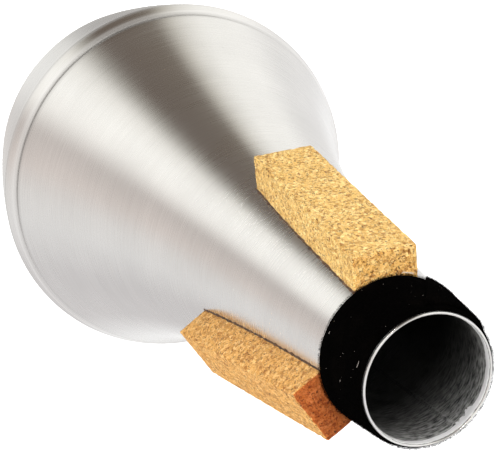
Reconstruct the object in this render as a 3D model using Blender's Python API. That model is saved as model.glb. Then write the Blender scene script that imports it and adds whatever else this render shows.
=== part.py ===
# Straight mute for a trumpet: a flared aluminium cone closed by a deep spun bowl,
# with three glued cork pads and a wrapped velour strip round the neck.
# Metres, +Z up. The mute stands on the bowl's flat end and its mouth points up.

import math

import bmesh
import bpy
from mathutils import Matrix, Vector

MM = 0.001

# Sheet metal and the clearances between touching pieces
SHEET = 0.7 * MM               # wall of the cone and of the bowl
CLEARANCE = 0.3 * MM           # air between pieces that touch or are glued

# Cone: outer radius = mouth + taper * s + flare * (s / flare length) ** flare power,
# where s is the distance down from the mouth
MOUTH_RADIUS = 12.2 * MM
CONE_TAPER = 0.098
CONE_FLARE = 17.3 * MM
FLARE_LENGTH = 129.0 * MM
FLARE_POWER = 2.88
CONE_LENGTH = 128.4 * MM       # mouth to the crimped groove
SHOULDER_LENGTH = 4.0 * MM     # rounded turn-over just before the groove
SHOULDER_DROP = 0.95 * MM      # how far the shoulder falls back at the groove
SHOULDER_POWER = 4             # how late the fall comes
LIP_ROUND = 0.35 * MM          # rounding of the rolled lip
HEM_DEPTH = 1.6 * MM           # sheet folded back inside the mouth
HEM_SHEET = 0.3 * MM
SPIGOT_STEP = 0.75 * MM        # the cone's end is drawn in to enter the bowl
SPIGOT_LENGTH = 5.6 * MM

# Bowl: a flaring rim band, a scribed line, a barrel side and a flat foot
RIM_BAND = 4.0 * MM            # from the bowl's open edge to the scribed line
BOWL_RADIUS = 43.0 * MM        # widest place, at the scribed line
BOWL_DEPTH = 30.5 * MM         # from the scribed line to the foot
BOWL_SIDE_SLOPE = 0.15
BOWL_SIDE_BULGE = 1.6 * MM     # extra fall of the side's curve at the foot
BOWL_CORNER = 5.0 * MM
LINE_DEPTH = 0.3 * MM
LINE_WIDTH = 0.5 * MM
FOOT_INNER_RADIUS = 19.0 * MM  # the middle of the foot is dished in
FOOT_DISH = 0.9 * MM
FOOT_DISH_SLOPE = 5.0 * MM     # width of the slope into the dish

# Cork pads, spread evenly round the neck
CORK_COUNT = 3
CORK_WIDTH = 12.5 * MM
CORK_LENGTH = 45.0 * MM
CORK_TOP_HEIGHT = 18.8 * MM    # outer face from the axis, at the mouth end
CORK_LOW_HEIGHT = 25.7 * MM    # outer face from the axis, at the far end
CORK_FIRST_ANGLE = math.radians(90.0)
CORK_EDGE = 0.25 * MM
CEMENT = 0.3 * MM              # contact cement under each pad

# Velour strip
COLLAR_LIP_GAP = 0.6 * MM      # bare metal left at the lip
COLLAR_WIDTH = 13.6 * MM
COLLAR_THICKNESS = 0.5 * MM
COLLAR_LAP_START = math.radians(33.0)
COLLAR_LAP_ANGLE = math.radians(40.0)
COLLAR_LAP_RISE = 0.5 * MM

# Facets and shading
TURN_SEGMENTS = 60             # facets round every turned piece
LIP_STEPS = 2
FLARE_STEPS = 12
SHOULDER_STEPS = 4
RIM_STEPS = 3
SIDE_STEPS = 6
CORNER_STEPS = 5
CORK_ROWS = 8
CORK_COLUMNS = 6
COLLAR_STEPS = 4
MERGE_DISTANCE = 0.02 * MM     # points nearer than this are one point
SMOOTH_ANGLE = math.radians(35.0)
BEVEL_ANGLE = math.radians(50.0)

SHOULDER_START = CONE_LENGTH - SHOULDER_LENGTH
RIM_DISTANCE = CONE_LENGTH + CLEARANCE
LINE_DISTANCE = RIM_DISTANCE + RIM_BAND
MUTE_LENGTH = LINE_DISTANCE + BOWL_DEPTH
CORK_START = COLLAR_LIP_GAP + COLLAR_WIDTH + CLEARANCE
CORK_END = CORK_START + CORK_LENGTH
TURN = 2.0 * math.pi
QUARTER_TURN = math.pi / 2.0


def clear_scene():
    for item in list(bpy.data.objects):
        bpy.data.objects.remove(item, do_unlink=True)


def height(distance):
    """World height of a place given by its distance down from the mouth."""
    return MUTE_LENGTH - distance


def cone_radius(distance):
    """Outer radius of the cone, rounded over at the shoulder."""
    flare = CONE_FLARE * (distance / FLARE_LENGTH) ** FLARE_POWER
    radius = MOUTH_RADIUS + CONE_TAPER * distance + flare
    if distance > SHOULDER_START:
        share = (distance - SHOULDER_START) / SHOULDER_LENGTH
        radius -= SHOULDER_DROP * share ** SHOULDER_POWER
    return radius


def spigot_radius():
    return cone_radius(CONE_LENGTH) - SPIGOT_STEP


def material(name, colour, roughness, metallic=0.0):
    item = bpy.data.materials.new(name)
    item.use_nodes = True
    shader = item.node_tree.nodes["Principled BSDF"]
    shader.inputs["Base Color"].default_value = (*colour, 1.0)
    shader.inputs["Roughness"].default_value = roughness
    shader.inputs["Metallic"].default_value = metallic
    return item


def add_object(name, work, surface, smooth=False):
    """Put the worked mesh into the scene as a named piece."""
    bmesh.ops.recalc_face_normals(work, faces=work.faces)
    mesh = bpy.data.meshes.new(name)
    work.to_mesh(mesh)
    work.free()
    if smooth:
        mesh.shade_smooth()
        mesh.set_sharp_from_angle(angle=SMOOTH_ANGLE)
    mesh.materials.append(surface)
    item = bpy.data.objects.new(name, mesh)
    bpy.context.scene.collection.objects.link(item)
    return item


def turned(outline, closed):
    """Turn an outline of (radius, height) points about Z. A closed outline makes a ring."""
    work = bmesh.new()
    points = [work.verts.new((radius, 0.0, level)) for radius, level in outline]
    edges = [work.edges.new(pair) for pair in zip(points, points[1:])]
    if closed:
        edges.append(work.edges.new((points[-1], points[0])))
    bmesh.ops.spin(
        work,
        geom=points + edges,
        axis=(0.0, 0.0, 1.0),
        cent=(0.0, 0.0, 0.0),
        angle=TURN,
        steps=TURN_SEGMENTS,
        use_merge=False,
    )
    bmesh.ops.remove_doubles(work, verts=work.verts, dist=MERGE_DISTANCE)
    return work


def steps(first, last, count):
    return [first + (last - first) * index / count for index in range(count + 1)]


def arc(centre, radius, first, last, count):
    """Points (radius, height) on a circle in the half plane, from angle first to last."""
    found = []
    for angle in steps(first, last, count):
        found.append((centre[0] + radius * math.cos(angle), centre[1] + radius * math.sin(angle)))
    return found


def cone_outline():
    """Closed section of the cone's sheet: lip, outside, shoulder, spigot, inside, hem."""
    lip_middle = (MOUTH_RADIUS - LIP_ROUND, height(LIP_ROUND))
    outside = arc(lip_middle, LIP_ROUND, QUARTER_TURN, 0.0, LIP_STEPS)
    for distance in steps(LIP_ROUND, SHOULDER_START, FLARE_STEPS)[1:]:
        outside.append((cone_radius(distance), height(distance)))
    for distance in steps(SHOULDER_START, CONE_LENGTH, SHOULDER_STEPS)[1:]:
        outside.append((cone_radius(distance), height(distance)))
    spigot_end = height(CONE_LENGTH + SPIGOT_LENGTH)
    outside.append((spigot_radius(), height(RIM_DISTANCE)))
    outside.append((spigot_radius(), spigot_end))
    inside = [(spigot_radius() - SHEET, spigot_end)]
    inside.append((spigot_radius() - SHEET, height(CONE_LENGTH)))
    for distance in steps(SHOULDER_START, HEM_DEPTH, FLARE_STEPS):
        inside.append((cone_radius(distance) - SHEET, height(distance)))
    hem_radius = MOUTH_RADIUS - SHEET - HEM_SHEET
    inside.append((hem_radius + CONE_TAPER * HEM_DEPTH, height(HEM_DEPTH - LIP_ROUND)))
    inside.append((hem_radius, height(LIP_ROUND)))
    inside.append((hem_radius + LIP_ROUND, height(0.0)))
    return outside + inside


def bowl_side_radius(depth):
    """Outer radius of the bowl's barrel side, at a depth below the scribed line."""
    return BOWL_RADIUS - BOWL_SIDE_SLOPE * depth - BOWL_SIDE_BULGE * (depth / BOWL_DEPTH) ** 2


def bowl_corner():
    """Middle of the arc between side and foot, and how far the side leans where they meet."""
    depth = BOWL_DEPTH - BOWL_CORNER
    lean = math.atan(BOWL_SIDE_SLOPE + 2.0 * BOWL_SIDE_BULGE * depth / BOWL_DEPTH ** 2)
    side_end = BOWL_DEPTH - BOWL_CORNER * (1.0 - math.sin(lean))
    middle = bowl_side_radius(side_end) - BOWL_CORNER * math.cos(lean)
    return (middle, BOWL_CORNER), lean


def bowl_outline():
    """Open section from the axis outside, up to the rim, and back to the axis inside."""
    centre, lean = bowl_corner()
    line_level = height(LINE_DISTANCE)
    line_top = line_level + LINE_WIDTH / 2.0
    rim_level = height(RIM_DISTANCE)
    rim_radius = spigot_radius() + CLEARANCE + SHEET
    dish_radius = FOOT_INNER_RADIUS - FOOT_DISH_SLOPE
    outside = [(0.0, FOOT_DISH), (dish_radius, FOOT_DISH), (FOOT_INNER_RADIUS, 0.0)]
    outside += arc(centre, BOWL_CORNER, -QUARTER_TURN, -lean, CORNER_STEPS)
    side_bottom = BOWL_CORNER * (1.0 - math.sin(lean))
    for level in steps(side_bottom, line_level - LINE_WIDTH / 2.0, SIDE_STEPS)[1:]:
        outside.append((bowl_side_radius(line_level - level), level))
    outside.append((BOWL_RADIUS - LINE_DEPTH, line_level))
    for turn in steps(0.0, QUARTER_TURN, RIM_STEPS):
        radius = rim_radius + (BOWL_RADIUS - rim_radius) * math.cos(turn)
        outside.append((radius, line_top + (rim_level - line_top) * math.sin(turn)))
    inside = [(rim_radius - SHEET, rim_level), (rim_radius - SHEET, rim_level - SHEET)]
    inside.append((BOWL_RADIUS - LINE_DEPTH - SHEET, line_top))
    for level in steps(line_level - LINE_WIDTH, BOWL_CORNER, SIDE_STEPS):
        inside.append((bowl_side_radius(line_level - level) - SHEET, level))
    inside += arc(centre, BOWL_CORNER - SHEET, -lean, -QUARTER_TURN, CORNER_STEPS)[1:]
    inside.append((FOOT_INNER_RADIUS, SHEET))
    inside += [(dish_radius, FOOT_DISH + SHEET), (0.0, FOOT_DISH + SHEET)]
    return outside + inside


def make_cone(surface):
    add_object("cone_shell", turned(cone_outline(), closed=True), surface, smooth=True)


def make_bowl(surface):
    add_object("end_bowl", turned(bowl_outline(), closed=False), surface, smooth=True)


def on_cone(distance, across, gap):
    """Height from the axis, straight above the cone's skin, at a place beside a pad's middle."""
    return math.sqrt((cone_radius(distance) + gap) ** 2 - across ** 2)


def cement_top(distance, across):
    return on_cone(distance, across, CLEARANCE + CEMENT)


def cork_top(distance, across):
    """The pad's flat outer face, which rises from the mouth end to the far end."""
    share = (distance - CORK_START) / CORK_LENGTH
    return CORK_TOP_HEIGHT + (CORK_LOW_HEIGHT - CORK_TOP_HEIGHT) * share


def layer_patch(gap, top):
    """Closed block under one pad's outline: its underside follows the cone at a gap, and
    top(distance, across) gives the height of its upper side from the axis."""
    work = bmesh.new()
    under, over = [], []
    for distance in steps(CORK_START, CORK_END, CORK_ROWS):
        low_row, top_row = [], []
        for across in steps(-CORK_WIDTH / 2.0, CORK_WIDTH / 2.0, CORK_COLUMNS):
            low = on_cone(distance, across, gap)
            low_row.append(work.verts.new((low, across, height(distance))))
            top_row.append(work.verts.new((top(distance, across), across, height(distance))))
        under.append(low_row)
        over.append(top_row)
    for grid in (under, over):
        for near, far in zip(grid, grid[1:]):
            for column in range(CORK_COLUMNS):
                work.faces.new((near[column], near[column + 1], far[column + 1], far[column]))
    for row in (0, CORK_ROWS):
        for column in range(CORK_COLUMNS):
            low, top_edge = under[row], over[row]
            work.faces.new((low[column], low[column + 1], top_edge[column + 1], top_edge[column]))
    for column in (0, CORK_COLUMNS):
        for row in range(CORK_ROWS):
            work.faces.new((under[row][column], under[row + 1][column],
                            over[row + 1][column], over[row][column]))
    return work


def make_pad(number, cork_surface, cement_surface):
    """One cork pad and the film of contact cement under it."""
    angle = CORK_FIRST_ANGLE + TURN * (number - 1) / CORK_COUNT
    place = Matrix.Rotation(angle, 4, "Z")
    film = add_object(f"cork_cement_{number}", layer_patch(CLEARANCE, cement_top), cement_surface)
    film.matrix_world = place
    pad_gap = CLEARANCE + CEMENT + CLEARANCE
    pad = add_object(f"cork_pad_{number}", layer_patch(pad_gap, cork_top), cork_surface)
    pad.matrix_world = place
    bevel = pad.modifiers.new("worn_edges", "BEVEL")
    bevel.width = CORK_EDGE
    bevel.segments = 1
    bevel.limit_method = "ANGLE"
    bevel.angle_limit = BEVEL_ANGLE


def collar_outer_gap(angle):
    """Height of the strip's face over the cone's skin, raised where the ends lap."""
    lapped = (angle - COLLAR_LAP_START) % TURN < COLLAR_LAP_ANGLE
    return CLEARANCE + COLLAR_THICKNESS + (COLLAR_LAP_RISE if lapped else 0.0)


def make_collar(surface):
    """Strip wound once round the neck, with a raised stretch where the ends lap."""
    work = bmesh.new()
    rows = steps(COLLAR_LIP_GAP, COLLAR_LIP_GAP + COLLAR_WIDTH, COLLAR_STEPS)
    rings = []
    for angle in steps(0.0, TURN, TURN_SEGMENTS)[:-1]:
        out = Vector((math.cos(angle), math.sin(angle), 0.0))
        places = [(distance, CLEARANCE) for distance in rows]
        places += [(distance, collar_outer_gap(angle)) for distance in reversed(rows)]
        ring = []
        for distance, gap in places:
            spot = out * (cone_radius(distance) + gap)
            spot.z = height(distance)
            ring.append(work.verts.new(spot))
        rings.append(ring)
    for ring, following in zip(rings, rings[1:] + rings[:1]):
        for place, after in zip(range(len(ring)), [*range(1, len(ring)), 0]):
            work.faces.new((ring[place], following[place], following[after], ring[after]))
    add_object("neck_collar", work, surface, smooth=True)


def main():
    clear_scene()
    make_cone(material("brushed_aluminium", (0.80, 0.79, 0.77), 0.32, 1.0))
    make_bowl(material("spun_aluminium", (0.82, 0.81, 0.79), 0.28, 1.0))
    for number in range(1, CORK_COUNT + 1):
        cork = material(f"cork_{number}", (0.72, 0.44, 0.20), 0.9)
        cement = material(f"contact_cement_{number}", (0.10, 0.05, 0.03), 0.5)
        make_pad(number, cork, cement)
    make_collar(material("black_velour", (0.006, 0.006, 0.007), 0.95))


main()
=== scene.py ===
# Looks of the trumpet mute: brushed cone, spun bowl, agglomerated cork pads and a velour
# strip, standing on a plain pale floor. Metres, +Z up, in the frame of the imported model.
import math
import random

import bpy
from mathutils import Matrix, Vector, noise


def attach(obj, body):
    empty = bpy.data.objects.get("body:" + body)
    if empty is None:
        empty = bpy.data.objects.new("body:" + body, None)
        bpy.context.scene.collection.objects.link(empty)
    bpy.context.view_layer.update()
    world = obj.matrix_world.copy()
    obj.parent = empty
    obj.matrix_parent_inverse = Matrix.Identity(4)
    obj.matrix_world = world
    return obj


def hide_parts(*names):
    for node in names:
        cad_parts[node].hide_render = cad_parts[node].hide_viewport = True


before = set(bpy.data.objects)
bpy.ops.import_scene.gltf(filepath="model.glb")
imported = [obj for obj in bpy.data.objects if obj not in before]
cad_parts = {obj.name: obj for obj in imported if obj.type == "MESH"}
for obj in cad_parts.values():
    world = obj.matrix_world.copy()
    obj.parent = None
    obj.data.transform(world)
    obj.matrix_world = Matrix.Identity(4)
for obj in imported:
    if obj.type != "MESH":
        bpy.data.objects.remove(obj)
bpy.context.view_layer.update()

MM = 0.001
TURN = 2.0 * math.pi
QUARTER_TURN = math.pi / 2.0

# Camera, at the angle of the photograph
CAMERA_AIM = Vector((0.0002, 0.0024, 0.080))
CAMERA_DISTANCE = 0.3254
CAMERA_AZIMUTH = math.radians(133.10)
CAMERA_ELEVATION = math.radians(62.565)
CAMERA_ROLL = math.radians(128.21)
CAMERA_LENS = 108.0
SENSOR_WIDTH = 36.0

# The mute's shape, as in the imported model
BOWL_SHEET = 0.7 * MM
CLEARANCE = 0.3 * MM
MOUTH_RADIUS = 12.2 * MM
CONE_TAPER = 0.098
CONE_FLARE = 17.3 * MM
FLARE_LENGTH = 129.0 * MM
FLARE_POWER = 2.88
CONE_LENGTH = 128.4 * MM
SHOULDER_LENGTH = 4.0 * MM
SHOULDER_DROP = 0.95 * MM
SHOULDER_POWER = 4
SPIGOT_STEP = 0.75 * MM
SPIGOT_LENGTH = 5.6 * MM
RIM_BAND = 4.0 * MM
BOWL_RADIUS = 43.0 * MM
BOWL_DEPTH = 30.5 * MM
BOWL_SIDE_SLOPE = 0.15
BOWL_SIDE_BULGE = 1.6 * MM
BOWL_CORNER = 5.0 * MM
LINE_DEPTH = 0.3 * MM
LINE_WIDTH = 0.5 * MM
FOOT_INNER_RADIUS = 19.0 * MM
FOOT_DISH = 0.9 * MM
FOOT_DISH_SLOPE = 5.0 * MM
CORK_COUNT = 3
CORK_WIDTH = 12.5 * MM
CORK_LENGTH = 45.0 * MM
CORK_TOP_HEIGHT = 18.8 * MM
CORK_LOW_HEIGHT = 25.7 * MM
CORK_FIRST_ANGLE = math.radians(90.0)
COLLAR_LIP_GAP = 0.6 * MM
COLLAR_WIDTH = 13.6 * MM

# Finer shapes that only this script makes
CONE_SHEET = 0.45 * MM             # as thin as the lip shows it
LIP_RADIUS = 0.22 * MM             # roll of the lip
LIP_BEVEL = 0.42 * MM              # the hem stands back this much from the lip's inner edge
HEM_DEPTH = 1.5 * MM
HEM_SHEET = 0.14 * MM
HEM_RAG = 0.25 * MM                # how far the hem's raw edge wanders
# Torn scraps of the raw edge: degrees round, reach in degrees, length
HEM_SCRAPS = ((314.0, 5.0, 1.4 * MM), (304.5, 2.5, 1.0 * MM), (299.0, 1.6, 0.6 * MM))
SEAM_ANGLE = math.radians(296.5)   # rolled seam inside the cone
SEAM_WIDTH = 0.6 * MM
SEAM_HEIGHT = 0.14 * MM
CORK_SEAT = 0.12 * MM              # underside over the cone's skin
CORK_ROUND = 0.40 * MM             # worn edges of the pads
CORK_GRID = 0.32 * MM              # spacing of the pads' surface points
# Tint of each pad's faces and of its end near the mouth; the second pad's faces, and its
# end most of all, are painted darker and redder: painted shade
CORK_TINTS_AND_SHADE = (
    ((0.98, 1.0, 0.98), (1.0, 0.92, 0.80)),
    ((0.90, 0.77, 0.68), (0.62, 0.25, 0.15)),
    ((1.0, 0.98, 0.96), (0.98, 0.93, 0.88)),
)
CEMENT_HEIGHT = 0.30 * MM
CEMENT_SPREAD = 0.42 * MM
STRIP_SEAT = 0.05 * MM
STRIP_THICKNESS = 0.55 * MM
STRIP_LAP = 0.5 * MM
STRIP_START = math.radians(33.0)   # the end that lies underneath
STRIP_END = math.radians(433.0)    # the end on top, a lap past a whole turn
STRIP_SLANT = -2100.0              # slant of the top end, degrees per metre from its middle
STRIP_SETBACK = 0.9 * MM           # the lapping end is cut back at the lip side
PILE_LENGTH = 0.42 * MM
PILE_COUNT = 16000
PILE_WIDTH = 0.03 * MM
TURNED_SEGMENTS = 288

# Soft lights: name, azimuth and elevation in degrees, watts
STUDIO_LIGHTS = (
    ("side_light", 80.0, 14.0, 3.6),
    ("end_light", 205.0, 8.0, 7.0),
    ("top_light", 100.0, 65.0, 5.2),
)
LIGHT_DISTANCE = 0.8
LIGHT_SIZE = 0.45
SNOOT_DISTANCE = 0.45
SNOOT_ANGLE = math.radians(3.6)
SNOOT_AZIMUTH = math.radians(115.0)
SNOOT_ELEVATION = math.radians(29.0)
SNOOT_SOFTNESS = 0.07
SNOOT_WATTS = 30.0

RIM_DISTANCE = CONE_LENGTH + CLEARANCE
SHOULDER_START = CONE_LENGTH - SHOULDER_LENGTH
LINE_DISTANCE = RIM_DISTANCE + RIM_BAND
MUTE_LENGTH = LINE_DISTANCE + BOWL_DEPTH
CORK_START = COLLAR_LIP_GAP + COLLAR_WIDTH + CLEARANCE
CORK_END = CORK_START + CORK_LENGTH

# Soft studio light: the tone that the metal mirrors, by direction round the mute's axis in
# degrees. A white window at one side, a dark gap beside it, and pale walls all round.
LIGHT_BANDS = (
    (-180, (0.84, 0.83, 0.82)),
    (-163, (0.71, 0.69, 0.69)),
    (-142, (0.72, 0.70, 0.70)),
    (-122, (1.05, 1.05, 1.05)),
    (-105, (0.80, 0.79, 0.78)),
    (-82, (0.22, 0.20, 0.18)),
    (-62, (0.60, 0.58, 0.56)),
    (-30, (1.05, 1.04, 1.03)),
    (0, (0.82, 0.80, 0.79)),
    (26, (1.06, 1.06, 1.06)),
    (38, (0.92, 0.91, 0.90)),
    (54, (0.92, 0.91, 0.89)),
    (66, (1.08, 1.07, 1.03)),
    (80, (1.06, 1.05, 1.00)),
    (87, (0.88, 0.86, 0.80)),
    (91, (0.64, 0.61, 0.54)),
    (96, (0.18, 0.15, 0.12)),
    (114, (0.14, 0.11, 0.09)),
    (118, (0.34, 0.32, 0.28)),
    (124, (1.00, 0.98, 0.92)),
    (132, (1.14, 1.13, 1.08)),
    (140, (1.08, 1.06, 1.01)),
    (149, (0.60, 0.55, 0.52)),
    (160, (0.75, 0.68, 0.64)),
    (170, (0.83, 0.81, 0.79)),
)
# The same light by height: how much it pales, and its strength, for faces that look down
# (-1), level (0) or up (1)
LIGHT_PALE = (0.95, 0.95, 0.94)
LIGHT_PALE_SHARE = ((-0.30, 0.6), (-0.12, 0.6), (-0.02, 0.4), (0.06, 0.0), (0.45, 0.0), (0.62, 0.25))
LIGHT_STRENGTH = (
    (-0.60, 0.50), (-0.42, 0.60), (-0.27, 0.93), (-0.14, 0.97), (-0.04, 0.74), (0.05, 1.0),
    (0.45, 1.0), (0.60, 1.06), (1.0, 1.10),
)


# Painted light and shade of the inside by depth below the mouth, in tenths of a metre:
# painted light at the lip, then painted shade deeper in
BORE_PAINTED_LIGHT_AND_SHADE = ((0.0, 1.7), (0.025, 0.78), (0.07, 0.42), (0.13, 0.16), (0.21, 0.03), (1.0, 0.015))


def cone_radius(distance):
    """Outer radius of the cone at a distance down from the mouth."""
    flare = CONE_FLARE * (max(distance, 0.0) / FLARE_LENGTH) ** FLARE_POWER
    radius = MOUTH_RADIUS + CONE_TAPER * distance + flare
    if distance > SHOULDER_START:
        share = (distance - SHOULDER_START) / SHOULDER_LENGTH
        radius -= SHOULDER_DROP * share ** SHOULDER_POWER
    return radius


def height(distance):
    return MUTE_LENGTH - distance


def spot(angle, radius, level):
    return Vector((radius * math.cos(angle), radius * math.sin(angle), level))


def steps(first, last, count):
    return [first + (last - first) * index / count for index in range(count + 1)]


def arc(centre, radius, first, last, count):
    found = []
    for angle in steps(first, last, count):
        found.append((centre[0] + radius * math.cos(angle), centre[1] + radius * math.sin(angle)))
    return found


def smooth_step(value, low, high):
    share = min(max((value - low) / (high - low), 0.0), 1.0)
    return share * share * (3.0 - 2.0 * share)


def piece(name, points, faces, surface, nodes=(), sharp=40.0):
    """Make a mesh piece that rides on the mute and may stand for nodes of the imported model."""
    mesh = bpy.data.meshes.new(name)
    mesh.from_pydata(points, [], faces)
    mesh.validate()
    mesh.shade_smooth()
    mesh.set_sharp_from_angle(angle=math.radians(sharp))
    surfaces = surface if isinstance(surface, (list, tuple)) else (surface,)
    for one in surfaces:
        mesh.materials.append(one)
    item = bpy.data.objects.new(name, mesh)
    bpy.context.scene.collection.objects.link(item)
    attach(item, "root")
    if nodes:
        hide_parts(*nodes)
    return item


def turned(outline, closed):
    """Points and faces of an outline of (radius, height) turned about Z."""
    points, faces = [], []
    count = len(outline)
    for segment in range(TURNED_SEGMENTS):
        angle = TURN * segment / TURNED_SEGMENTS
        points += [spot(angle, radius, level) for radius, level in outline]
    last = count if closed else count - 1
    for segment in range(TURNED_SEGMENTS):
        near = segment * count
        far = (segment + 1) % TURNED_SEGMENTS * count
        for place in range(last):
            after = (place + 1) % count
            faces.append((near + place, far + place, far + after, near + after))
    return points, faces


def new_surface(name, colour, roughness, metallic=0.0):
    item = bpy.data.materials.new(name)
    item.use_nodes = True
    shader = item.node_tree.nodes["Principled BSDF"]
    shader.inputs["Base Color"].default_value = (*colour, 1.0)
    shader.inputs["Roughness"].default_value = roughness
    shader.inputs["Metallic"].default_value = metallic
    return item, item.node_tree.nodes, item.node_tree.links, shader


def math_node(nodes, links, operation, first, second=None):
    item = nodes.new("ShaderNodeMath")
    item.operation = operation
    for socket, value in zip(item.inputs, (first, second)):
        if value is None:
            continue
        if isinstance(value, (int, float)):
            socket.default_value = value
        else:
            links.new(value, socket)
    return item.outputs[0]


def ramp_node(nodes, links, factor, stops, mode="LINEAR"):
    item = nodes.new("ShaderNodeValToRGB")
    item.color_ramp.interpolation = mode
    elements = item.color_ramp.elements
    elements[0].position = stops[0][0]
    elements[0].color = (*stops[0][1], 1.0)
    elements[1].position = stops[-1][0]
    elements[1].color = (*stops[-1][1], 1.0)
    for position, colour in stops[1:-1]:
        element = elements.new(position)
        element.color = (*colour, 1.0)
    links.new(factor, item.inputs["Fac"])
    return item.outputs["Color"]


def range_node(nodes, links, value, low, high, new_low, new_high):
    item = nodes.new("ShaderNodeMapRange")
    links.new(value, item.inputs["Value"])
    for name, number in (("From Min", low), ("From Max", high),
                         ("To Min", new_low), ("To Max", new_high)):
        item.inputs[name].default_value = number
    return item.outputs["Result"]


def mix_node(nodes, links, mode, factor, first, second):
    item = nodes.new("ShaderNodeMix")
    item.data_type = "RGBA"
    item.blend_type = mode
    sockets = {"Factor": factor, "A": first, "B": second}
    for socket in item.inputs:
        value = sockets.get(socket.name)
        wanted = "VALUE" if socket.name == "Factor" else "RGBA"
        if value is None or socket.type != wanted:
            continue
        if isinstance(value, (int, float, tuple)):
            socket.default_value = (*value, 1.0) if isinstance(value, tuple) else value
        else:
            links.new(value, socket)
    return next(out for out in item.outputs if out.type == "RGBA")


def noise_node(nodes, links, vector, scale, detail=2.0, roughness=0.5):
    item = nodes.new("ShaderNodeTexNoise")
    item.inputs["Scale"].default_value = scale
    item.inputs["Detail"].default_value = detail
    item.inputs["Roughness"].default_value = roughness
    links.new(vector, item.inputs["Vector"])
    return item.outputs["Fac"]


def bump_node(nodes, links, level, strength, distance, under=None):
    item = nodes.new("ShaderNodeBump")
    item.inputs["Strength"].default_value = strength
    item.inputs["Distance"].default_value = distance
    links.new(level, item.inputs["Height"])
    if under is not None:
        links.new(under, item.inputs["Normal"])
    return item.outputs["Normal"]


def metal_surface(name, colour, roughness, anisotropy, line_scale, line_depth,
                  metallic=1.0, contrast=0.07, relief=0.3, broken=1.6, painted_groove_shade=(), bands=()):
    """Metal with fine lines round the axis, faint smudges and tiny pits. Painted shade darkens
    it at the given heights, each with its reach and its strength. Bands paint light and shade
    by the depth below the mouth, in tenths of a metre."""
    item, nodes, links, shader = new_surface(name, colour, roughness, metallic)
    shader.inputs["Anisotropic"].default_value = anisotropy
    shader.inputs["Anisotropic Rotation"].default_value = 0.25
    tangent = nodes.new("ShaderNodeTangent")
    tangent.direction_type = "RADIAL"
    tangent.axis = "Z"
    links.new(tangent.outputs["Tangent"], shader.inputs["Tangent"])
    place = nodes.new("ShaderNodeTexCoord").outputs["Object"]
    parts = nodes.new("ShaderNodeSeparateXYZ")
    links.new(place, parts.inputs[0])
    x, y, z = parts.outputs
    angle = math_node(nodes, links, "ARCTAN2", y, x)
    squares = math_node(nodes, links, "ADD", math_node(nodes, links, "MULTIPLY", x, x),
                        math_node(nodes, links, "MULTIPLY", y, y))
    radius = math_node(nodes, links, "SQRT", squares)
    along = math_node(nodes, links, "SUBTRACT", z, radius)
    brushed = nodes.new("ShaderNodeCombineXYZ")
    links.new(math_node(nodes, links, "MULTIPLY", angle, broken), brushed.inputs[0])
    links.new(math_node(nodes, links, "MULTIPLY", along, line_scale), brushed.inputs[1])
    lines = noise_node(nodes, links, brushed.outputs[0], 1.0, 3.0, 0.65)
    smudge = noise_node(nodes, links, place, 45.0, 4.0, 0.6)
    pits = noise_node(nodes, links, place, 2600.0, 2.0, 0.5)
    reach = 0.12 if contrast > 0.5 else 0.2
    tone = range_node(nodes, links, lines, 0.5 - reach, 0.5 + reach,
                      1.0 - contrast, 1.0 + contrast * 0.7)
    stain = range_node(nodes, links, smudge, 0.35, 0.75, 1.02, 0.95)
    shade = math_node(nodes, links, "MULTIPLY", tone, stain)
    # painted light and shade by depth below the mouth
    if bands:
        stops = [(depth, (value, value, value)) for depth, value in bands]
        depth = range_node(nodes, links, z, MUTE_LENGTH, MUTE_LENGTH - 0.1, 0.0, 1.0)
        shade = math_node(nodes, links, "MULTIPLY", shade, ramp_node(nodes, links, depth, stops))
    # painted shade: darker at each given height, such as the groove and the scribed line
    for level, reach, depth in painted_groove_shade:
        apart = math_node(nodes, links, "ABSOLUTE", math_node(nodes, links, "SUBTRACT", z, level))
        groove_shade_factor = range_node(nodes, links, apart, 0.0, reach, 1.0 - depth, 1.0)
        shade = math_node(nodes, links, "MULTIPLY", shade, groove_shade_factor)
    grey = nodes.new("ShaderNodeCombineXYZ")
    for socket in grey.inputs:
        links.new(shade, socket)
    links.new(mix_node(nodes, links, "MULTIPLY", 1.0, colour, grey.outputs[0]),
              shader.inputs["Base Color"])
    rough = math_node(nodes, links, "ADD",
                      range_node(nodes, links, smudge, 0.3, 0.7, roughness - 0.03, roughness + 0.04),
                      range_node(nodes, links, lines, 0.3, 0.7, -0.03, 0.03))
    links.new(rough, shader.inputs["Roughness"])
    dents = range_node(nodes, links, pits, 0.66, 0.74, 0.0, -1.0)
    fine = bump_node(nodes, links, dents, 0.15, 0.02 * MM)
    links.new(bump_node(nodes, links, lines, relief, line_depth, fine), shader.inputs["Normal"])
    return item


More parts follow.
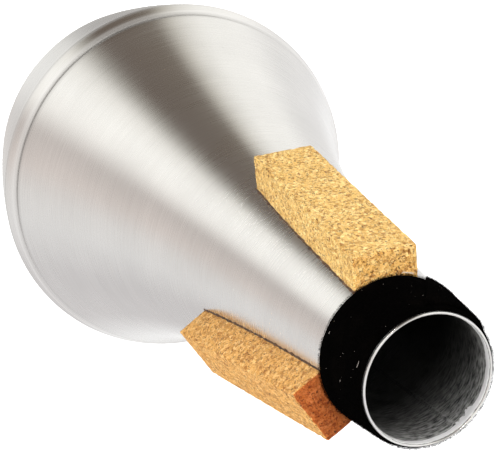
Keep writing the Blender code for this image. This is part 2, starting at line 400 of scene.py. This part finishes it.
def cork_surface(name, shift, tint):
    """Agglomerated cork: granules of unlike tone, dark bark flecks and open pores."""
    item, nodes, links, shader = new_surface(name, (0.78, 0.48, 0.22), 0.86)
    place = nodes.new("ShaderNodeMapping")
    place.inputs["Location"].default_value = shift
    links.new(nodes.new("ShaderNodeTexCoord").outputs["Object"], place.inputs["Vector"])
    place = place.outputs["Vector"]
    bend = nodes.new("ShaderNodeTexNoise")
    bend.inputs["Scale"].default_value = 1300.0
    links.new(place, bend.inputs["Vector"])
    moved = nodes.new("ShaderNodeVectorMath")
    moved.operation = "MULTIPLY_ADD"
    links.new(bend.outputs["Color"], moved.inputs[0])
    moved.inputs[1].default_value = (0.0005, 0.0005, 0.0005)
    links.new(place, moved.inputs[2])
    grains = nodes.new("ShaderNodeTexVoronoi")
    grains.inputs["Scale"].default_value = 1800.0
    links.new(moved.outputs[0], grains.inputs["Vector"])
    chance = nodes.new("ShaderNodeSeparateColor")
    links.new(grains.outputs["Color"], chance.inputs[0])
    grain = ramp_node(nodes, links, chance.outputs[0], (
        (0.0, (0.40, 0.170, 0.040)),
        (0.12, (0.62, 0.330, 0.085)),
        (0.35, (0.78, 0.470, 0.140)),
        (0.75, (0.87, 0.560, 0.190)),
        (1.0, (0.97, 0.740, 0.340)),
    ))
    edges = nodes.new("ShaderNodeTexVoronoi")
    edges.feature = "DISTANCE_TO_EDGE"
    edges.inputs["Scale"].default_value = 1800.0
    links.new(moved.outputs[0], edges.inputs["Vector"])
    patchy = noise_node(nodes, links, place, 800.0, 3.0)
    limit = range_node(nodes, links, patchy, 0.46, 0.70, 0.0, 0.12)
    seam = math_node(nodes, links, "LESS_THAN", edges.outputs["Distance"], limit)
    seamed = mix_node(nodes, links, "MIX", math_node(nodes, links, "MULTIPLY", seam, 0.45),
                      grain, (0.34, 0.130, 0.035))
    fleck = noise_node(nodes, links, place, 2100.0, 3.0, 0.6)
    flecked = mix_node(nodes, links, "MIX", range_node(nodes, links, fleck, 0.60, 0.63, 0.0, 0.95),
                       seamed, (0.10, 0.026, 0.006))
    speck = noise_node(nodes, links, place, 3600.0, 2.0, 0.5)
    flecked = mix_node(nodes, links, "MIX", range_node(nodes, links, speck, 0.60, 0.63, 0.0, 0.75),
                       flecked, (0.36, 0.115, 0.022))
    mottle = noise_node(nodes, links, place, 3200.0, 3.0, 0.6)
    pale = mix_node(nodes, links, "MIX", range_node(nodes, links, mottle, 0.52, 0.66, 0.0, 0.55),
                    flecked, (0.98, 0.78, 0.42))
    # the tint paints shade: darker and redder on the second pad, most of all on its end
    links.new(mix_node(nodes, links, "MULTIPLY", 1.0, pale, tint), shader.inputs["Base Color"])
    level = math_node(nodes, links, "SUBTRACT", mottle, math_node(nodes, links, "MULTIPLY", seam, 0.7))
    level = math_node(nodes, links, "SUBTRACT", level,
                      range_node(nodes, links, fleck, 0.60, 0.66, 0.0, 0.8))
    links.new(bump_node(nodes, links, level, 0.9, 0.2 * MM), shader.inputs["Normal"])
    return item


def cement_surface():
    item, nodes, links, shader = new_surface("dry_cement", (0.075, 0.036, 0.018), 0.45)
    place = nodes.new("ShaderNodeTexCoord").outputs["Object"]
    blotch = noise_node(nodes, links, place, 700.0, 4.0, 0.6)
    links.new(ramp_node(nodes, links, blotch, (
        (0.35, (0.035, 0.016, 0.008)),
        (0.55, (0.100, 0.048, 0.022)),
        (0.72, (0.220, 0.120, 0.055)),
    )), shader.inputs["Base Color"])
    links.new(bump_node(nodes, links, blotch, 0.8, 0.15 * MM), shader.inputs["Normal"])
    return item


def velour_surface(name, colour):
    """Short black pile, a little browner where it is pressed down."""
    item, nodes, links, shader = new_surface(name, colour, 1.0)
    shader.inputs["Specular IOR Level"].default_value = 0.0
    shader.inputs["Sheen Weight"].default_value = 0.003
    shader.inputs["Sheen Roughness"].default_value = 0.45
    place = nodes.new("ShaderNodeTexCoord").outputs["Object"]
    pile = noise_node(nodes, links, place, 3200.0, 3.0, 0.7)
    worn = noise_node(nodes, links, place, 160.0, 3.0, 0.6)
    dark = tuple(value * 0.45 for value in colour)
    brown = tuple(value * tint for value, tint in zip(colour, (2.3, 2.0, 1.8)))
    base = ramp_node(nodes, links, pile, ((0.35, dark), (0.7, colour)))
    links.new(mix_node(nodes, links, "MIX", range_node(nodes, links, worn, 0.5, 0.75, 0.0, 0.6),
                       base, brown), shader.inputs["Base Color"])
    links.new(bump_node(nodes, links, pile, 0.9, 0.12 * MM), shader.inputs["Normal"])
    return item


def plain_lint(name, colour):
    item, nodes, links, shader = new_surface(name, colour, 0.8)
    place = nodes.new("ShaderNodeTexCoord").outputs["Object"]
    links.new(ramp_node(nodes, links, noise_node(nodes, links, place, 2500.0), (
        (0.3, tuple(value * 0.6 for value in colour)), (0.7, colour))), shader.inputs["Base Color"])
    return item


def cone_outline():
    """Section of the cone's sheet from the lip down the outside, and back up the inside."""
    middle = MOUTH_RADIUS - LIP_RADIUS
    outside = arc((middle, height(LIP_RADIUS)), LIP_RADIUS, math.pi, 0.0, 14)
    for distance in steps(LIP_RADIUS, SHOULDER_START, 72)[1:]:
        outside.append((cone_radius(distance), height(distance)))
    for distance in steps(SHOULDER_START, CONE_LENGTH, 12)[1:]:
        outside.append((cone_radius(distance), height(distance)))
    spigot = cone_radius(CONE_LENGTH) - SPIGOT_STEP
    spigot_end = height(CONE_LENGTH + SPIGOT_LENGTH)
    outside += [(spigot, height(RIM_DISTANCE)), (spigot, spigot_end)]
    inside = [(spigot - CONE_SHEET, spigot_end), (spigot - CONE_SHEET, height(CONE_LENGTH))]
    for distance in steps(SHOULDER_START, HEM_DEPTH / 2.0, 72):
        inside.append((cone_radius(distance) - CONE_SHEET, height(distance)))
    return outside, inside


def make_cone(skin, bore):
    outside, inside = cone_outline()
    outline = outside + inside
    points, faces = turned(outline, closed=True)
    item = piece("cone_metal", points, faces, (skin, bore), ("cone_shell",))
    first_inside = len(outside)
    count = len(outline)
    for face in item.data.polygons:
        if face.index % count >= first_inside - 1:
            face.material_index = 1


def make_hem(skin):
    """Sheet folded back inside the mouth, with a ragged, slightly lifted raw edge."""
    points, faces = [], []
    rows = 10
    count = 2 * (rows + 1)
    for segment in range(TURNED_SEGMENTS):
        angle = TURN * segment / TURNED_SEGMENTS
        round_trip = Vector((math.cos(angle), math.sin(angle), 0.0))
        rag = noise.noise(round_trip * 3.1) + 0.5 * noise.noise(round_trip * 11.0)
        depth = HEM_DEPTH + HEM_RAG * rag
        for degrees, reach, length in HEM_SCRAPS:
            apart = abs(math.degrees(angle) - degrees)
            torn = 0.75 + 0.9 * noise.noise(round_trip * 75.0)
            depth += length * torn * (1.0 - smooth_step(apart, reach * 0.4, reach))
        lift = 0.10 * MM * (noise.noise(round_trip * 5.0 + Vector((9.0, 0.0, 0.0))) + 0.4)
        face_side, wall_side = [], []
        for share in steps(0.0, 1.0, rows):
            distance = LIP_BEVEL + (depth - LIP_BEVEL) * share
            outer = cone_radius(distance) - CONE_SHEET - max(lift, 0.0) * share ** 2
            roll = HEM_SHEET * smooth_step(share, -0.35, 0.3)
            face_side.append(spot(angle, outer - roll, height(distance)))
            wall_side.append(spot(angle, outer, height(distance)))
        points += face_side + wall_side[::-1]
    for segment in range(TURNED_SEGMENTS):
        near = segment * count
        far = (segment + 1) % TURNED_SEGMENTS * count
        for place in range(count):
            after = (place + 1) % count
            faces.append((near + place, near + after, far + after, far + place))
    piece("mouth_hem", points, faces, skin)


def make_inside_seam(skin):
    """Rolled seam that runs down the inside of the cone as a low flat rib."""
    points, faces = [], []
    section = ((-0.5, 0.0), (-0.36, 1.0), (0.36, 1.0), (0.5, 0.0), (0.5, -0.4), (-0.5, -0.4))
    rows = steps(HEM_DEPTH + 0.4 * MM, SHOULDER_START, 60)
    for distance in rows:
        wall = cone_radius(distance) - CONE_SHEET
        for across, lift in section:
            angle = SEAM_ANGLE + across * SEAM_WIDTH / wall
            points.append(spot(angle, wall - lift * SEAM_HEIGHT, height(distance)))
    count = len(section)
    for row in range(len(rows) - 1):
        for place in range(count):
            after = (place + 1) % count
            faces.append((row * count + place, row * count + after,
                          (row + 1) * count + after, (row + 1) * count + place))
    faces.append(tuple(range(count))[::-1])
    faces.append(tuple(range(len(points) - count, len(points))))
    piece("inside_seam", points, faces, skin)


def bowl_side_radius(depth):
    return BOWL_RADIUS - BOWL_SIDE_SLOPE * depth - BOWL_SIDE_BULGE * (depth / BOWL_DEPTH) ** 2


def make_bowl(skin):
    """Deep pressing: rim band, scribed line, barrel side, corner, flat foot and its dish."""
    depth = BOWL_DEPTH - BOWL_CORNER
    lean = math.atan(BOWL_SIDE_SLOPE + 2.0 * BOWL_SIDE_BULGE * depth / BOWL_DEPTH ** 2)
    side_end = BOWL_DEPTH - BOWL_CORNER * (1.0 - math.sin(lean))
    centre = (bowl_side_radius(side_end) - BOWL_CORNER * math.cos(lean), BOWL_CORNER)
    line_level = height(LINE_DISTANCE)
    line_top = line_level + LINE_WIDTH / 2.0
    rim_level = height(RIM_DISTANCE)
    rim_radius = cone_radius(CONE_LENGTH) - SPIGOT_STEP + CLEARANCE + BOWL_SHEET
    dish = FOOT_INNER_RADIUS - FOOT_DISH_SLOPE
    outline = [(0.02 * MM, FOOT_DISH), (dish - MM, FOOT_DISH), (dish, FOOT_DISH * 0.96)]
    outline += [(FOOT_INNER_RADIUS - MM, 0.12 * MM), (FOOT_INNER_RADIUS, 0.0)]
    outline += arc(centre, BOWL_CORNER, -QUARTER_TURN, -lean, 14)
    for level in steps(BOWL_CORNER * (1.0 - math.sin(lean)), line_level - LINE_WIDTH / 2.0, 30)[1:]:
        outline.append((bowl_side_radius(line_level - level), level))
    outline.append((BOWL_RADIUS - LINE_DEPTH, line_level))
    for turn in steps(0.0, QUARTER_TURN, 14):
        radius = rim_radius + (BOWL_RADIUS - rim_radius) * math.cos(turn)
        outline.append((radius, line_top + (rim_level - line_top) * math.sin(turn)))
    outline += [(rim_radius - BOWL_SHEET, rim_level), (rim_radius - BOWL_SHEET, rim_level - BOWL_SHEET)]
    outline.append((BOWL_RADIUS - LINE_DEPTH - BOWL_SHEET, line_top))
    for level in steps(line_level - LINE_WIDTH, BOWL_CORNER, 12):
        outline.append((bowl_side_radius(line_level - level) - BOWL_SHEET, level))
    outline += arc(centre, BOWL_CORNER - BOWL_SHEET, -lean, -QUARTER_TURN, 8)[1:]
    outline += [(FOOT_INNER_RADIUS, BOWL_SHEET), (dish, FOOT_DISH + BOWL_SHEET), (0.02 * MM, FOOT_DISH + BOWL_SHEET)]
    points, faces = turned(outline, closed=True)
    piece("bowl_metal", points, faces, skin, ("end_bowl",), sharp=32.0)


def cork_face_height(distance):
    share = (distance - CORK_START) / CORK_LENGTH
    return CORK_TOP_HEIGHT + (CORK_LOW_HEIGHT - CORK_TOP_HEIGHT) * share


def lattice_surface(counts):
    """Places (i, j, k) on the skin of a lattice, numbered, and the quads between them."""
    number, faces = {}, []

    def index(place):
        return number.setdefault(place, len(number))

    for axis in range(3):
        one, two = [other for other in range(3) if other != axis]
        for side in (0, counts[axis]):
            for first in range(counts[one]):
                for second in range(counts[two]):
                    quad = []
                    for step_one, step_two in ((0, 0), (1, 0), (1, 1), (0, 1)):
                        place = [0, 0, 0]
                        place[axis] = side
                        place[one] = first + step_one
                        place[two] = second + step_two
                        quad.append(index(tuple(place)))
                    outward = (side > 0) == (axis != 1)
                    faces.append(tuple(quad) if outward else tuple(reversed(quad)))
    return number, faces


def make_cork(number, surface, end_surface):
    """Pad with worn, crumbled edges and open pores, its underside following the cone. The
    end near the mouth has a surface of its own, whose tint paints shade on the second pad."""
    turn = Matrix.Rotation(CORK_FIRST_ANGLE + TURN * (number - 1) / CORK_COUNT, 4, "Z")
    counts = (round(CORK_LENGTH / CORK_GRID), round(CORK_WIDTH / CORK_GRID), 14)
    places, faces = lattice_surface(counts)
    shift = Vector((31.0, 17.0, 5.0)) * number
    points = []
    for i, j, k in places:
        distance = CORK_START + CORK_LENGTH * i / counts[0]
        across = CORK_WIDTH * (j / counts[1] - 0.5)
        low = math.sqrt((cone_radius(distance) + CORK_SEAT) ** 2 - across ** 2)
        top = cork_face_height(distance)
        level = low + (top - low) * k / counts[2]
        out = Vector((float(k == counts[2]), float((j == counts[1]) - (j == 0)),
                      float((i == 0) - (i == counts[0]))))
        place = Vector((level, across, height(distance)))
        core = Vector((min(level, top - CORK_ROUND),
                       min(max(across, CORK_ROUND - CORK_WIDTH / 2.0), CORK_WIDTH / 2.0 - CORK_ROUND),
                       min(max(place.z, height(CORK_END) + CORK_ROUND),
                           height(CORK_START) - CORK_ROUND)))
        offset = place - core
        edge = sum(abs(value) > 0.0 for value in out) > 1 or offset.length > CORK_ROUND * 1.05
        if offset.length > 0.0 and out.length > 0.0:
            place = core + offset.normalized() * min(offset.length, CORK_ROUND)
        if out.length > 0.0:
            seed = place * (1.0 / (1.5 * MM)) + shift
            crumb = max(0.0, noise.noise(seed * 1.3) - 0.05) * (1.7 if edge else 0.4)
            pore = max(0.0, noise.noise(seed * 2.6) - 0.30) * (1.6 if edge else 0.8)
            wave = 0.5 + 0.5 * noise.noise(seed * 0.35)
            place = place - out.normalized() * MM * (0.5 * crumb + 0.5 * pore + 0.07 * wave)
        points.append(turn @ place)
    item = piece(f"cork_block_{number}", points, faces, (surface, end_surface),
                 (f"cork_pad_{number}",), sharp=60.0)
    for face in item.data.polygons:
        if face.index < counts[1] * counts[2]:
            face.material_index = 1


def make_cement(number, surface):
    """Dried cement squeezed out in an uneven line round the foot of a pad."""
    turn = Matrix.Rotation(CORK_FIRST_ANGLE + TURN * (number - 1) / CORK_COUNT, 4, "Z")
    rows, columns = 120, 34
    points, faces = [], []
    for side in (0, 1):
        for row in range(rows + 1):
            for column in range(columns + 1):
                along = row / rows
                aside = column / columns
                seed = Vector((along * 37.0, aside * 11.0, number * 9.0))
                spread = CEMENT_SPREAD * (0.45 + 0.9 * max(noise.noise(seed), -0.4))
                distance = CORK_START + CORK_LENGTH * along + spread * 0.6 * (2.0 * along - 1.0)
                across = (CORK_WIDTH / 2.0 + spread) * (2.0 * aside - 1.0)
                rim = min(row, rows - row, column, columns - column)
                gap = -0.03 * MM
                if side:
                    gap = CEMENT_HEIGHT * (0.25 if rim == 0 else 0.8 if rim == 1 else 1.0)
                level = math.sqrt((cone_radius(distance) + gap) ** 2 - across ** 2)
                points.append(turn @ Vector((level, across, height(distance))))
    layer = (rows + 1) * (columns + 1)
    width = columns + 1
    for row in range(rows):
        for column in range(columns):
            corner = row * width + column
            quad = (corner, corner + 1, corner + width + 1, corner + width)
            faces.append(quad)
            faces.append(tuple(place + layer for place in reversed(quad)))
    border = [column for column in range(columns)]
    border += [row * width + columns for row in range(rows)]
    border += [rows * width + column for column in range(columns, 0, -1)]
    border += [row * width for row in range(rows, 0, -1)]
    for here, there in zip(border, border[1:] + border[:1]):
        faces.append((there, here, here + layer, there + layer))
    piece(f"cement_line_{number}", points, faces, surface,
          (f"cork_cement_{number}",), sharp=60.0)


def strip_gap(angle):
    """Height over the cone of the strip's inner side, which climbs onto its own start."""
    climb_start = STRIP_START + TURN - math.radians(9.0)
    return STRIP_SEAT + STRIP_LAP * smooth_step(angle, climb_start, STRIP_START + TURN)


def strip_end(distance):
    return STRIP_END + math.radians(STRIP_SLANT * (distance - COLLAR_LIP_GAP - COLLAR_WIDTH / 2.0))


def strip_place(share_round, share_down, lift):
    """A point on the strip as (angle, distance, radius): share_down runs from its lip side to
    its cork side, and lift is 0 on its inner side and 1 on its face."""
    distance = COLLAR_LIP_GAP + COLLAR_WIDTH * share_down
    angle = STRIP_START + (strip_end(distance) - STRIP_START) * share_round
    setback = STRIP_SETBACK * smooth_step(angle, STRIP_START + TURN * 0.97, STRIP_START + TURN)
    distance += setback * max(0.0, 1.0 - 3.0 * share_down)
    radius = cone_radius(distance) + strip_gap(angle) + lift * STRIP_THICKNESS
    return angle, distance, radius


def make_strip(surface):
    rounds, rows = 260, 18
    points, faces = [], []
    for step in range(rounds + 1):
        for side in (0, 1):
            for row in range(rows + 1):
                share = row / rows
                wander = 0.10 * MM * noise.noise(Vector((step * 0.11, (share > 0.5) * 5.0, 0.0)))
                rim = min(row, rows - row)
                lift = side * (1.0 if rim > 1 else 0.86 if rim == 1 else 0.5)
                lift += side * 0.08 * noise.noise(Vector((step * 0.8, row * 0.9, 3.0)))
                angle, distance, radius = strip_place(step / rounds, share, lift)
                distance += wander if rim == 0 else 0.0
                points.append(spot(angle, radius, height(distance)))
    width = rows + 1
    band = 2 * width
    for step in range(rounds):
        for row in range(rows):
            low = step * band + row
            faces.append((low, low + 1, low + band + 1, low + band))
            top = low + width
            faces.append((top, top + band, top + band + 1, top + 1))
        for row in (0, rows):
            low = step * band + row
            quad = (low, low + band, low + band + width, low + width)
            faces.append(quad if row == 0 else quad[::-1])
    for step in (0, rounds):
        for row in range(rows):
            low = step * band + row
            quad = (low, low + width, low + width + 1, low + 1)
            faces.append(quad if step == 0 else quad[::-1])
    piece("velour_strip", points, faces, surface, ("neck_collar",), sharp=50.0)


def make_pile(surface):
    """Fine fibres that stand off the strip and blur its edges."""
    chance = random.Random(11)
    points, faces = [], []
    for number in range(PILE_COUNT):
        edge = number % 4 == 0
        share = chance.choice((0.0, 1.0)) if edge else chance.random()
        angle, distance, radius = strip_place(chance.random(), share, 0.6 if edge else 0.93)
        root = spot(angle, radius, height(distance))
        out = Vector((math.cos(angle), math.sin(angle), 0.0))
        lean = Vector((chance.uniform(-1, 1), chance.uniform(-1, 1), chance.uniform(-1, 1))) * 0.75
        if edge:
            lean.z += 0.55 if share == 0.0 else -0.55
        tip = root + (out * 0.8 + lean).normalized() * PILE_LENGTH * chance.uniform(0.5, 1.3)
        side = out.cross(lean).normalized() * PILE_WIDTH
        rise = side.cross((tip - root).normalized())
        base = len(points)
        points += [root + side, root - side * 0.5 + rise * 0.8, root - side * 0.5 - rise * 0.8, tip]
        faces += [(base, base + 2, base + 1), (base, base + 1, base + 3),
                  (base + 1, base + 2, base + 3), (base + 2, base, base + 3)]
    piece("velour_pile", points, faces, surface, sharp=180.0)


def make_lint(name, angle_degrees, distance, length, bend, surface):
    """One short stray fibre lying on the strip."""
    curve = bpy.data.curves.new(name, "CURVE")
    curve.dimensions = "3D"
    curve.bevel_depth = 0.035 * MM
    curve.bevel_resolution = 1
    curve.use_fill_caps = True
    line = curve.splines.new("POLY")
    count = 9
    line.points.add(count - 1)
    for index, share in enumerate(steps(-0.5, 0.5, count - 1)):
        angle = math.radians(angle_degrees) + share * length / cone_radius(distance)
        place = distance + bend * (share * share - 0.1)
        radius = cone_radius(place) + STRIP_SEAT + STRIP_THICKNESS + PILE_LENGTH * 0.8
        line.points[index].co = (*spot(angle, radius, height(place)), 1.0)
    curve.materials.append(surface)
    item = bpy.data.objects.new(name, curve)
    bpy.context.scene.collection.objects.link(item)
    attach(item, "root")


def make_specks(name, count, seed, size, places, surface):
    """Dust: tiny flat flakes on a surface. places(chance) gives an angle, a radius and a height."""
    chance = random.Random(seed)
    points, faces = [], []
    for _ in range(count):
        angle, radius, level = places(chance)
        middle = spot(angle, radius, level)
        out = Vector((math.cos(angle), math.sin(angle), 0.15))
        side = out.cross(Vector((0.0, 0.0, 1.0))).normalized()
        rise = side.cross(out).normalized()
        reach = size * chance.uniform(0.5, 1.4)
        spin = chance.uniform(0.0, TURN)
        base = len(points)
        for corner in range(5):
            turn = spin + TURN * corner / 5.0
            span = reach * chance.uniform(0.5, 1.0)
            points.append(middle + (side * math.cos(turn) + rise * math.sin(turn)) * span)
        points += [middle + out * reach * 0.4, middle - out * reach * 0.2]
        for corner in range(5):
            after = base + (corner + 1) % 5
            faces += [(base + corner, after, base + 5), (after, base + corner, base + 6)]
    piece(name, points, faces, surface, sharp=180.0)


def on_strip(chance):
    angle, distance, radius = strip_place(chance.random(), chance.uniform(0.03, 0.97), 1.25)
    return angle, radius, height(distance)


def on_cone(chance):
    distance = CORK_START + (SHOULDER_START - CORK_START) * chance.random() ** 0.5
    return chance.uniform(0.0, TURN), cone_radius(distance), height(distance)


def make_camera():
    level_out = math.cos(CAMERA_ELEVATION)
    toward = Vector((level_out * math.cos(CAMERA_AZIMUTH), level_out * math.sin(CAMERA_AZIMUTH),
                     math.sin(CAMERA_ELEVATION)))
    level = (-toward).cross(Vector((0.0, 0.0, 1.0))).normalized()
    rise = level.cross(-toward)
    right = level * math.cos(CAMERA_ROLL) + rise * math.sin(CAMERA_ROLL)
    up = rise * math.cos(CAMERA_ROLL) - level * math.sin(CAMERA_ROLL)
    data = bpy.data.cameras.new("studio_camera")
    data.lens = CAMERA_LENS
    data.sensor_width = SENSOR_WIDTH
    data.sensor_fit = "HORIZONTAL"
    data.clip_start = 0.01
    data.clip_end = 20.0
    item = bpy.data.objects.new("studio_camera", data)
    turn = Matrix((right, up, toward)).transposed().to_4x4()
    item.matrix_world = Matrix.Translation(CAMERA_AIM + toward * CAMERA_DISTANCE) @ turn
    bpy.context.scene.collection.objects.link(item)
    bpy.context.scene.camera = item
    return toward


def make_floor():
    """Plain pale floor. The metal mirrors the studio's soft light instead of it."""
    mesh = bpy.data.meshes.new("studio_floor")
    half = 3.0
    mesh.from_pydata([(-half, -half, 0.0), (half, -half, 0.0), (half, half, 0.0), (-half, half, 0.0)],
                     [], [(0, 1, 2, 3)])
    item, nodes, links, shader = new_surface("pale_floor", (0.9, 0.9, 0.9), 0.9)
    shader.inputs["Emission Color"].default_value = (1.0, 1.0, 1.0, 1.0)
    shader.inputs["Emission Strength"].default_value = 0.72
    mesh.materials.append(item)
    floor = bpy.data.objects.new("studio_floor", mesh)
    floor.location.z = -0.0002
    floor.visible_glossy = False
    floor.visible_diffuse = False
    bpy.context.scene.collection.objects.link(floor)


def grey_stops(pairs):
    """Ramp stops from (facing, value) pairs, facing running from -1 to 1."""
    return [((facing + 1.0) / 2.0, (value, value, value)) for facing, value in pairs]


def make_world(toward):
    """Even soft light, with broad bands of tone round the mute for the metal to mirror."""
    world = bpy.data.worlds.new("studio_light")
    bpy.context.scene.world = world
    world.use_nodes = True
    nodes, links = world.node_tree.nodes, world.node_tree.links
    nodes.clear()
    direction = nodes.new("ShaderNodeTexCoord").outputs["Generated"]
    middle = nodes.new("ShaderNodeVectorMath")
    middle.operation = "ADD"
    links.new(direction, middle.inputs[0])
    middle.inputs[1].default_value = toward
    parts = nodes.new("ShaderNodeSeparateXYZ")
    links.new(middle.outputs[0], parts.inputs[0])
    angle = math_node(nodes, links, "ARCTAN2", parts.outputs[1], parts.outputs[0])
    share = range_node(nodes, links, angle, -math.pi, math.pi, 0.0, 1.0)
    stops = [((degrees + 180.0) / 360.0, colour) for degrees, colour in LIGHT_BANDS]
    stops.append((1.0, LIGHT_BANDS[0][1]))
    bands = ramp_node(nodes, links, share, stops)
    facing = nodes.new("ShaderNodeVectorMath")
    facing.operation = "NORMALIZE"
    links.new(middle.outputs[0], facing.inputs[0])
    upright = nodes.new("ShaderNodeSeparateXYZ")
    links.new(facing.outputs[0], upright.inputs[0])
    level = range_node(nodes, links, upright.outputs[2], -1.0, 1.0, 0.0, 1.0)
    pale_share = ramp_node(nodes, links, level, grey_stops(LIGHT_PALE_SHARE))
    strength = ramp_node(nodes, links, level, grey_stops(LIGHT_STRENGTH))
    bands = mix_node(nodes, links, "MIX", pale_share, bands, LIGHT_PALE)
    bands = mix_node(nodes, links, "MULTIPLY", 1.0, bands, strength)
    soft = nodes.new("ShaderNodeBackground")
    skyward = nodes.new("ShaderNodeSeparateXYZ")
    links.new(direction, skyward.inputs[0])
    links.new(range_node(nodes, links, skyward.outputs[2], -0.2, 0.9, 0.50, 0.20),
              soft.inputs["Strength"])
    banded = nodes.new("ShaderNodeBackground")
    links.new(bands, banded.inputs["Color"])
    pale = nodes.new("ShaderNodeBackground")
    pale.inputs["Color"].default_value = (1.0, 1.0, 1.0, 1.0)
    rays = nodes.new("ShaderNodeLightPath")
    first = nodes.new("ShaderNodeMixShader")
    links.new(rays.outputs["Is Glossy Ray"], first.inputs["Fac"])
    links.new(soft.outputs[0], first.inputs[1])
    links.new(banded.outputs[0], first.inputs[2])
    second = nodes.new("ShaderNodeMixShader")
    links.new(rays.outputs["Is Camera Ray"], second.inputs["Fac"])
    links.new(first.outputs[0], second.inputs[1])
    links.new(pale.outputs[0], second.inputs[2])
    links.new(second.outputs[0], nodes.new("ShaderNodeOutputWorld").inputs["Surface"])


def make_light(name, place, size, watts):
    data = bpy.data.lights.new(name, "AREA")
    data.size = size
    data.energy = watts
    item = bpy.data.objects.new(name, data)
    item.location = place
    item.rotation_euler = (CAMERA_AIM - place).to_track_quat("-Z", "Y").to_euler()
    item.visible_glossy = False
    bpy.context.scene.collection.objects.link(item)


def make_snoot():
    """Narrow soft beam into the mouth, which lights the bore's far wall."""
    data = bpy.data.lights.new("mouth_beam", "SPOT")
    data.energy = SNOOT_WATTS
    data.spot_size = SNOOT_ANGLE
    data.spot_blend = 0.4
    data.shadow_soft_size = SNOOT_SOFTNESS
    item = bpy.data.objects.new("mouth_beam", data)
    mouth = Vector((0.0, 0.0, MUTE_LENGTH))
    item.location = mouth + spot(SNOOT_AZIMUTH, SNOOT_DISTANCE * math.cos(SNOOT_ELEVATION),
                                 SNOOT_DISTANCE * math.sin(SNOOT_ELEVATION))
    item.rotation_euler = (mouth - item.location).to_track_quat("-Z", "Y").to_euler()
    bpy.context.scene.collection.objects.link(item)


def main():
    bpy.context.scene.view_settings.view_transform = "Standard"
    toward = make_camera()
    make_floor()
    make_world(toward)
    for name, azimuth, elevation, watts in STUDIO_LIGHTS:
        azimuth, elevation = math.radians(azimuth), math.radians(elevation)
        place = spot(azimuth, LIGHT_DISTANCE * math.cos(elevation),
                     LIGHT_DISTANCE * math.sin(elevation))
        make_light(name, CAMERA_AIM + place, LIGHT_SIZE, watts)
    make_snoot()

    groove = height(CONE_LENGTH)
    line_level = height(LINE_DISTANCE)
    # painted shade at the groove below the shoulder
    skin = metal_surface("brushed_skin", (0.86, 0.85, 0.84), 0.27, 0.75, 2300.0, 0.010 * MM,
                         painted_groove_shade=((groove, 2.2 * MM, 0.25),))
    # the bore's bands paint light at the lip and shade deeper in
    bore = metal_surface("turned_bore", (0.36, 0.355, 0.34), 0.45, 0.3, 1700.0, 0.14 * MM,
                         metallic=0.10, contrast=0.95, relief=0.8, broken=7.0, bands=BORE_PAINTED_LIGHT_AND_SHADE)
    # painted shade at the groove and at the scribed line
    spun = metal_surface("spun_skin", (0.87, 0.86, 0.85), 0.25, 0.6, 3000.0, 0.006 * MM,
                         painted_groove_shade=((groove, 0.6 * MM, 0.3), (line_level, 0.5 * MM, 0.3)))
    fold = metal_surface("folded_sheet", (0.92, 0.91, 0.90), 0.40, 0.2, 3500.0, 0.006 * MM,
                         metallic=0.3, contrast=0.12)
    make_cone(skin, bore)
    make_hem(fold)
    make_inside_seam(bore)
    make_bowl(spun)
    cement = cement_surface()
    for number in range(1, CORK_COUNT + 1):
        shift = (0.03 * number, 0.0, 0.0)
        # each pad's tints; those of the second pad are painted shade on its faces and end
        face_tint_and_shade, end_tint_and_shade = CORK_TINTS_AND_SHADE[number - 1]
        make_cork(number, cork_surface(f"cork_grain_{number}", shift, face_tint_and_shade),
                  cork_surface(f"cork_end_{number}", shift, end_tint_and_shade))
        make_cement(number, cement)
    velour = velour_surface("black_pile", (0.0012, 0.0010, 0.0009))
    make_strip(velour)
    make_pile(velour)
    lint = plain_lint("pale_fibre", (0.45, 0.40, 0.36))
    make_lint("lint_1", 156.0, 1.6 * MM, 1.1 * MM, 0.5 * MM, lint)
    make_lint("lint_2", 150.0, 12.2 * MM, 0.35 * MM, -0.3 * MM, lint)
    make_lint("lint_3", 176.0, 6.0 * MM, 0.3 * MM, 0.2 * MM, lint)
    fluff = plain_lint("white_fluff", (0.85, 0.84, 0.82))
    foot = COLLAR_LIP_GAP + COLLAR_WIDTH
    make_lint("fluff_1", 73.5, foot + 0.05 * MM, 1.9 * MM, 0.7 * MM, fluff)
    make_lint("fluff_2", 77.0, foot - 0.3 * MM, 1.2 * MM, -0.6 * MM, fluff)
    make_lint("fluff_3", 71.5, foot - 0.4 * MM, 0.9 * MM, 0.8 * MM, fluff)
    make_specks("strip_dust", 70, 5, 0.07 * MM, on_strip, lint)
    dust = plain_lint("pale_dust", (0.80, 0.78, 0.74))
    make_specks("cone_dust", 90, 8, 0.09 * MM, on_cone, dust)


main()
